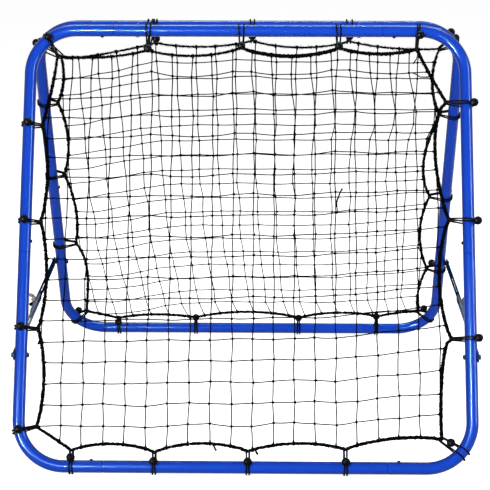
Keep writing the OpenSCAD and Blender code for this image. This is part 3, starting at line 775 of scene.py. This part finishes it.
luck = random.Random(11)
for face in FACES:
    flat = even_points(rope_points(face, 24), ROPE_PITCH / STEPS_PER_TURN)
    count = len(flat) - len(flat) % STEPS_PER_TURN
    around = sum((b - a).length for a, b in zip(flat, flat[1:] + flat[:1]))
    flat = even_points(flat, around / count)
    out_way = on_frame(face, 0, 0, 1) - on_frame(face, 0, 0)
    frames = []
    for i, place in enumerate(flat):
        along = flat[(i + 1) % len(flat)] - flat[i - 1]
        across = on_frame(face, -along.y, along.x) - on_frame(face, 0, 0)
        frames.append((on_frame(face, place.x, place.y), across.normalized()))
    strands = []
    for strand in range(3):
        points, swells, lump = [], [], 0.0
        for i, (place, across) in enumerate(frames):
            turn = 2 * math.pi * (i / STEPS_PER_TURN + strand / 3)
            girth = plumpness(face, flat[i])
            points.append(place + STRAND_AXIS * girth
                          * (across * math.cos(turn) + out_way * math.sin(turn)))
            lump += 0.6 * (luck.uniform(-0.5, 0.5) - lump)
            swells.append(girth * (1 + lump + luck.uniform(-0.28, 0.28)))
        strands.append((points, True, swells))
    rope = lay_lines(f"{face}_rope", strands, STRAND)
    hairs = []
    for _ in range(HAIRS):
        i = luck.randrange(len(frames))
        place, across = frames[i]
        along = (frames[(i + 1) % len(frames)][0] - place).normalized()
        turn = luck.uniform(0, 2 * math.pi)
        up = across * math.cos(turn) + out_way * math.sin(turn)
        root = place + up * HAIR_ROOT
        lean = along * luck.uniform(-0.003, 0.003)
        hairs.append(([root, root + up * 0.0014 + lean * 0.4,
                       root + up * luck.uniform(0.0016, 0.003) + lean], False, [1, 0.9, 0.4]))
    rope = join_all(f"{face}_rope", [rope, lay_lines("hairs", hairs, HAIR, 4)])
    hand_over(rope, rope_yarn, "border_rope", f"{face}_frame", f"{face}_border_rope")


# ---------------------------------------------------------------- nets
# Black twine knotted into square meshes. It hangs a little out of true, and every end of it is
# hitched round the border rope.

MESH = 44               # in mm, like the place of the first knot
NET_X, NET_DROP = 15, 97
COLUMNS, ROWS = range(-12, 12), range(-3, 20)
CLEAR_ABOVE, CLEAR_BELOW = 0.014, 0.01      # the least room between a knot and the rope
TWINE = 0.00255
KNOT_TWINE, HITCH_TWINE = 0.0027, 0.0021
# A hitch is two turns round the rope, each side of its middle, and a small knot further in.
TURN_APART, TURN_RISE, TURN_RADIUS = 0.0012, 0.0005, ROPE_RADIUS + 0.0007
LUMP_IN, LUMP_RADIUS, LUMP_BACK, LUMP_AHEAD = 0.005, 0.0012, 0.002, 0.0018
TIE_GAP, SAG = 210, 0.006
net_twine = new_yarn("net_twine", 0.85, (0.001, 0.001, 0.001), (0.005, 0.005, 0.006),
                     1400, 900, 0.00015)


def at_ties(x):
    """1 at the three cords of a top bar, 0 between them."""
    if abs(x) > 1.5 * TIE_GAP - 5:
        return 0.0
    return (0.5 + 0.5 * math.cos(math.radians(360 * (x + 5) / TIE_GAP))) ** 2


def hang(face, x, drop):
    """How far a knot hangs out of true, all in mm: (x, drop).

    The rows are drawn up at the ties of the top bar and fall away to the right; lower down the
    columns slant.
    """
    kink_x = 1.5 * math.sin(math.radians(3.1 * x + 2.4 * drop))
    kink_drop = 1.5 * math.sin(math.radians(2.3 * x - 3.3 * drop))
    if face == "front":
        aside = -0.02 * max(0, x) - (5 + 0.02 * x) * (1 - ramp(drop, 97, 185))
        slope = (0.1 - 0.045 * ramp(drop, 650, 800)) * ramp(drop, 250, 650)
        down = (4 - 0.02 * x - slope * max(0, x - 190)
                - at_ties(x) * (5 + 7 * (1 - ramp(drop, 97, 185)) - 5 * ramp(drop, 320, 700)
                                - 8 * ramp(drop, 700, 880)))
    else:
        aside = (0.03 * max(0, x) * (1 - ramp(drop, 273, 317)) + 5 * ramp(drop, 449, 500)
                 + (20 - 0.035 * x) * ramp(drop, 600, 850) + 15 * ramp(drop, 850, 895))
        level = max(x, -400 + 35 * ramp(drop, 450, 560))
        down = (0.0005 * min(0, level + 80) ** 2 - 0.1 * max(0, x - 200) * ramp(drop, 350, 550)
                - at_ties(x) * (9 - 6 * ramp(drop, 97, 185) - 3 * ramp(drop, 320, 600))
                + 6 * ramp(-x, 230, 290) * ramp(drop, 400, 470))
    return kink_x + aside, kink_drop + down


def knot_place(face, column, row):
    """A knot of the net as a flat point (x, drop) in metres."""
    x, drop = NET_X + MESH * column, NET_DROP + MESH * row
    aside, down = hang(face, x, drop)
    return Vector(((x + aside) / 1000, (drop + down) / 1000))


def belly(x, drop):
    """How far the slack net sags out of its frame's plane, towards the ground."""
    edge = max(0.0, min(1, (0.43 - abs(x)) / 0.12, (drop - 0.05) / 0.12, (0.9 - drop) / 0.12))
    return -SAG * edge * math.cos(3 * x) * math.sin(3.3 * drop)


def inside(outline, place):
    """True if a flat point lies within the rope."""
    crossed = False
    for a, b in zip(outline, outline[1:] + outline[:1]):
        if (a.y > place.y) != (b.y > place.y):
            if place.x < a.x + (place.y - a.y) / (b.y - a.y) * (b.x - a.x):
                crossed = not crossed
    return crossed


def meet(outline, start, end):
    """Where the line from start past end first crosses the rope, and the rope's way there."""
    way, share, rope_way = end - start, 3.0, Vector((1, 0))
    for a, b in zip(outline, outline[1:] + outline[:1]):
        side = b - a
        turn = way.cross(side)
        if turn == 0:
            continue
        reach, along = (a - start).cross(side) / turn, (a - start).cross(way) / turn
        if 0 <= reach < share and 0 <= along <= 1:
            share, rope_way = reach, side.normalized()
    return start.lerp(end, share), rope_way


# A trefoil, the simplest knot there is, about 6 units across.
KNOT_UNIT = 0.00076
KNOT = [(math.sin(t) + 2 * math.sin(2 * t), math.cos(t) - 2 * math.cos(2 * t), -math.sin(3 * t))
        for t in [2 * math.pi * i / 15 for i in range(15)]]
for face in FACES:
    outline = rope_points(face, 12)
    out_way = on_frame(face, 0, 0, 1) - on_frame(face, 0, 0)
    knots = {(column, row): knot_place(face, column, row) for column in COLUMNS for row in ROWS}
    held = {key: all(inside(outline, place + Vector((0, shift)))
                     for shift in (-CLEAR_ABOVE, CLEAR_BELOW))
            for key, place in knots.items()}

    def hung(place):
        """A flat point of the net in its place in space."""
        return on_frame(face, place.x, place.y, belly(place.x, place.y))

    lengths, knotted, hitches = [], [], []
    for (column, row), place in knots.items():
        if held[column, row]:
            spin = luck.uniform(0, 2 * math.pi)
            centre = hung(place)
            right, down = Vector((1, 0, 0)), on_frame(face, 0, 1) - on_frame(face, 0, 0)
            knotted.append(([centre + KNOT_UNIT * (
                right * (a * math.cos(spin) - b * math.sin(spin))
                + down * (a * math.sin(spin) + b * math.cos(spin)) + out_way * c)
                for a, b, c in KNOT], True))
        for step in ((1, 0), (0, 1)):
            there = (column + step[0], row + step[1])
            if there not in knots or not (held[column, row] or held[there]):
                continue
            ends = [place, knots[there]]
            for end in (0, 1):
                if not held[((column, row), there)[end]]:
                    tied, rope_way = meet(outline, ends[1 - end], ends[end])
                    inner = (ends[1 - end] - tied).normalized()
                    ends[end] = tied
                    centre = hung(tied)
                    sweep = on_frame(face, rope_way.x, rope_way.y) - on_frame(face, 0, 0)
                    for lift in (-TURN_APART, TURN_APART):
                        hitches.append((coil(centre + sweep * (lift - TURN_RISE),
                                             centre + sweep * (lift + TURN_RISE),
                                             TURN_RADIUS, 1, 10), False))
                    lump = hung(tied + inner * LUMP_IN)
                    toward = (lump - centre).normalized()
                    hitches.append((coil(lump - toward * LUMP_BACK, lump + toward * LUMP_AHEAD,
                                         LUMP_RADIUS, 2, 8), False))
            slack = Vector((luck.uniform(-0.0006, 0.0006), luck.uniform(-0.0002, 0.0009)))
            lengths.append(([hung(ends[0]),
                             hung(ends[0].lerp(ends[1], 0.33) + slack),
                             hung(ends[0].lerp(ends[1], 0.67) + slack * 0.8),
                             hung(ends[1])], False))
    net = join_all(f"{face}_netting", [lay_lines("lengths", lengths, TWINE),
                                       lay_lines("knots", knotted, KNOT_TWINE),
                                       lay_lines("hitches", hitches, HITCH_TWINE)])
    hand_over(net, net_twine, "net_twine", f"{face}_frame", f"{face}_net")


# ---------------------------------------------------------------- loose ends
# Cut ends of twine and rope, left hanging where a mesh was mended or a rope was tied off. Each
# is of the same yarn as the piece that it comes from.

YARNS = {"net_twine": (net_twine, TWINE), "border_rope": (rope_yarn, 0.004)}
LOOSE_ENDS = {
    ("front", "net_twine"): [
        [(0.362, 0.042), (0.365, 0.052), (0.363, 0.062), (0.355, 0.074)],
        [(0.352, 0.094), (0.36, 0.098), (0.37, 0.103), (0.388, 0.104)],
    ],
    ("front", "border_rope"): [
        [(-0.4245, 0.673), (-0.428, 0.678), (-0.4315, 0.686)],
        [(-0.0665, 0.892), (-0.0628, 0.898), (-0.0592, 0.9045)],
        [(0.0185, 0.9), (0.0222, 0.906), (0.0262, 0.912)],
    ],
    ("rear", "net_twine"): [
        [(0.2215, 0.471), (0.217, 0.481), (0.212, 0.496), (0.2085, 0.513), (0.2095, 0.531),
         (0.2115, 0.546)],
        [(0.2185, 0.47), (0.2155, 0.482), (0.21, 0.497), (0.2068, 0.513), (0.2085, 0.53)],
    ],
}
for (face, slot), ends in LOOSE_ENDS.items():
    yarn, thickness = YARNS[slot]
    tails = []
    for flat in ends:
        points = [on_frame(face, x, drop, 0.002 + 0.003 * math.sin(2.1 * i))
                  for i, (x, drop) in enumerate(flat)]
        tails.append((points, False, [1.0] * (len(points) - 1) + [1.3]))
    hand_over(lay_lines(f"{face}_{slot}_ends", tails, thickness), yarn, slot, f"{face}_frame")


# ---------------------------------------------------------------- elastic cords
# Each is a loop of braided elastic, doubled: it runs round the tube and the rope like a belt.
# One at the top of the front net goes round both top bars.

CORD = 0.0036
BELT_TUBE = TUBE_RADIUS + AIR + CORD / 2
BELT_ROPE = ROPE_RADIUS + 0.0002 + CORD / 2
WIDE_LOOP = 1           # the front cord that goes round both top bars
# From a cord's middle to each of its two strands: at its ball, on the rest of the tube, and at
# the rope for the cords of the front bottom bar. Some cords lie wider or closer on the tube.
AT_BALL, SPREAD, FANNED = 0.002, 0.003, 0.0032
SPREADS = {("front", 2): 0.0055, ("front", 3): 0.0047, ("front", 4): 0.0024,
           ("front", 8): 0.0078, ("rear", 0): 0.006, ("rear", 2): 0.0045, ("rear", 3): 0.006}

# Braid: two families of slanting plaits that cross, laid along the cord's own map.
braid, tree, shader = new_finish("elastic_braid", 0.75, Specular_IOR_Level=0.01)
cord_map = add_node(tree, "ShaderNodeTexCoord")
plaits = []
for slant in (-1, 1):
    lay = add_node(tree, "ShaderNodeMapping")
    lay.inputs["Scale"].default_value = (46, 4, 1)
    lay.inputs["Rotation"].default_value = (0, 0, slant * 0.72)
    plait = add_node(tree, "ShaderNodeTexWave", {"Scale": 0.8, "Distortion": 0.4})
    tree.links.new(cord_map.outputs["UV"], lay.inputs["Vector"])
    tree.links.new(lay.outputs["Vector"], plait.inputs["Vector"])
    plaits.append(plait.outputs["Fac"])
crossing = add_node(tree, "ShaderNodeMath", operation="MAXIMUM")
tree.links.new(plaits[0], crossing.inputs[0])
tree.links.new(plaits[1], crossing.inputs[1])
two_tones(tree, crossing.outputs[0], (0.0005, 0.0005, 0.0006), (0.006, 0.006, 0.007), shader)
emboss(tree, crossing.outputs[0], 0.7, 0.0003, shader)


def cord_axes(face, x, drop, way):
    """A cord's place on the tube's axis, and its ways to the rope, outwards and along."""
    place = on_frame(face, x, drop)
    run, fall = math.cos(math.radians(way)), math.sin(math.radians(way))
    pull = on_frame(face, x + run, drop + fall) - place
    along = on_frame(face, x + fall, drop - run) - place
    outward = on_frame(face, x, drop, 1) - place
    return place, pull, outward, along


for face in FACES:
    lines = []
    for i, (x, drop, way, reach, ball, far, _, skew, aside) in enumerate(CORDS[face]):
        if face == "front" and i == WIDE_LOOP:
            continue
        place, pull, outward, along = cord_axes(face, x, drop, way)
        touch = math.degrees(math.acos((BELT_TUBE - BELT_ROPE) / reach))
        spread = SPREADS.get((face, i), SPREAD)
        at_rope = FANNED if face == "front" and drop == HEIGHT else max(0.0017, 0.6 * spread)
        for strand in (-1, 1):
            points = []
            for a, b in round_points((0, 0), BELT_TUBE, touch, 360 - touch, 20):
                turn = math.degrees(math.atan2(b, a)) - ball
                near = math.exp(-(((turn + 180) % 360 - 180) / 40) ** 2)
                apart = strand * (spread - (spread - AT_BALL) * near)
                points.append(place + pull * (a + skew * apart) + outward * b + along * apart)
            for a, b in round_points((reach, 0), BELT_ROPE, -touch, touch, 7):
                points.append(place + pull * a + outward * b
                              + along * (aside + strand * at_rope))
            lines.append((points, True))
    loops = lay_lines(f"{face}_loops", lines, CORD, 8)
    hand_over(loops, braid, "elastic_cord", f"{face}_frame", f"{face}_elastic_cords")

# The wide loop runs over both bars, down behind the rear one and back to the rope.
WIDE_ON_BARS, WIDE_AT_ROPE = 0.0046, 0.0022
x, drop, way, reach, *_ = CORDS["front"][WIDE_LOOP]
rope_at = on_frame("front", x, reach)
rope_way = math.degrees(math.atan2(rope_at.z - TOP_HEIGHT, rope_at.y + TOP_GAP / 2))
bars_y = TOP_GAP / 2
steep = math.degrees(math.atan2(rope_at.z - TOP_HEIGHT, rope_at.y - bars_y)) % 360
wide = []
for strand in (-1, 1):
    loop = (round_points((bars_y, TOP_HEIGHT), BELT_TUBE, steep + 90 - 360, 90, 14)
            + round_points((-bars_y, TOP_HEIGHT), BELT_TUBE, 90, rope_way % 360 - 90, 8)
            + round_points((rope_at.y, rope_at.z), BELT_ROPE,
                           rope_way % 360 - 90, steep + 90, 8))
    wide.append(([Vector((x + strand * (WIDE_ON_BARS if z > TOP_HEIGHT - 0.02 else WIDE_AT_ROPE),
                          y, z)) for y, z in loop], True))
wide_loop = lay_lines("loop_round_both_bars", wide, CORD, 8)
wide_loop.data.materials.append(braid)
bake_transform(wide_loop)


# ---------------------------------------------------------------- balls
# Moulded plastic balls with a raised parting line. The cord's two ends go in at a lipped hole,
# and the ball keeps them from slipping back round the tube.

BALL_RADIUS = 0.009
ball_plastic, tree, shader = new_finish("ball_plastic", 0.36, Specular_IOR_Level=0.015)
moulded = place_group(tree, skin, Drift=120.0, Grain=1500.0)
two_tones(tree, moulded.outputs["Shade"], (0.001, 0.001, 0.001), (0.005, 0.005, 0.006), shader)
roughen(tree, moulded.outputs["Shade"], 0.3, 0.42, shader)
emboss(tree, moulded.outputs["Height"], 0.3, 0.00005, shader)

profile = ([(0.0, -0.0064), (0.0019, -0.0066), (0.0022, -0.008), (0.0027, -0.0086)]
           + round_points((0, 0), BALL_RADIUS, -70, -4, 10)
           + [(0.00912, -0.0004), (0.00912, 0.0004)]
           + round_points((0, 0), BALL_RADIUS, 4, 90, 13))
curve = bpy.data.curves.new("ball_profile", "CURVE")
curve.dimensions = "3D"
draw_line(curve, [(max(radius, 0), 0, z) for radius, z in profile], False)
ball_model = make_mesh(curve)
turned = ball_model.modifiers.new("turned", "SCREW")
turned.steps = turned.render_steps = 28
turned.use_merge_vertices = True
turned.merge_threshold = 0.00001
bpy.ops.object.modifier_apply(modifier="turned")
merge_and_smooth(40)

# Balls that sit beside their cord's middle: angle round the tube, distance from its axis and
# shift along it. The top right cord of the rear net holds two.
BESIDE = {
    ("front", 4): [(52, RESTING, 0.0045)],
    ("rear", 0): [(-144, RESTING, 0.0075)],
    ("rear", 4): [(102, RESTING, -0.0096), (102, RESTING, 0.0096)],
}
for face in FACES:
    copies = []
    balls = [(*cord[:3], *ball) for i, cord in enumerate(CORDS[face])
             for ball in BESIDE.get((face, i), [(cord[4], cord[5], 0)])]
    for x, drop, way, ball, far, aside in balls:
        place, pull, outward, along = cord_axes(face, x, drop, way)
        turn = math.radians(ball)
        up = pull * math.cos(turn) + outward * math.sin(turn)
        place = place + along * aside
        copy = ball_model.copy()
        copy.data = ball_model.data.copy()
        bpy.context.collection.objects.link(copy)
        copy.data.transform(Matrix.Translation(place + up * far)
                            @ up.to_track_quat("Z", "Y").to_matrix().to_4x4())
        copies.append(copy)
    hand_over(join_all(f"{face}_balls", copies), ball_plastic, "ball_plastic",
              f"{face}_frame", f"{face}_cord_balls")
bpy.data.objects.remove(ball_model)
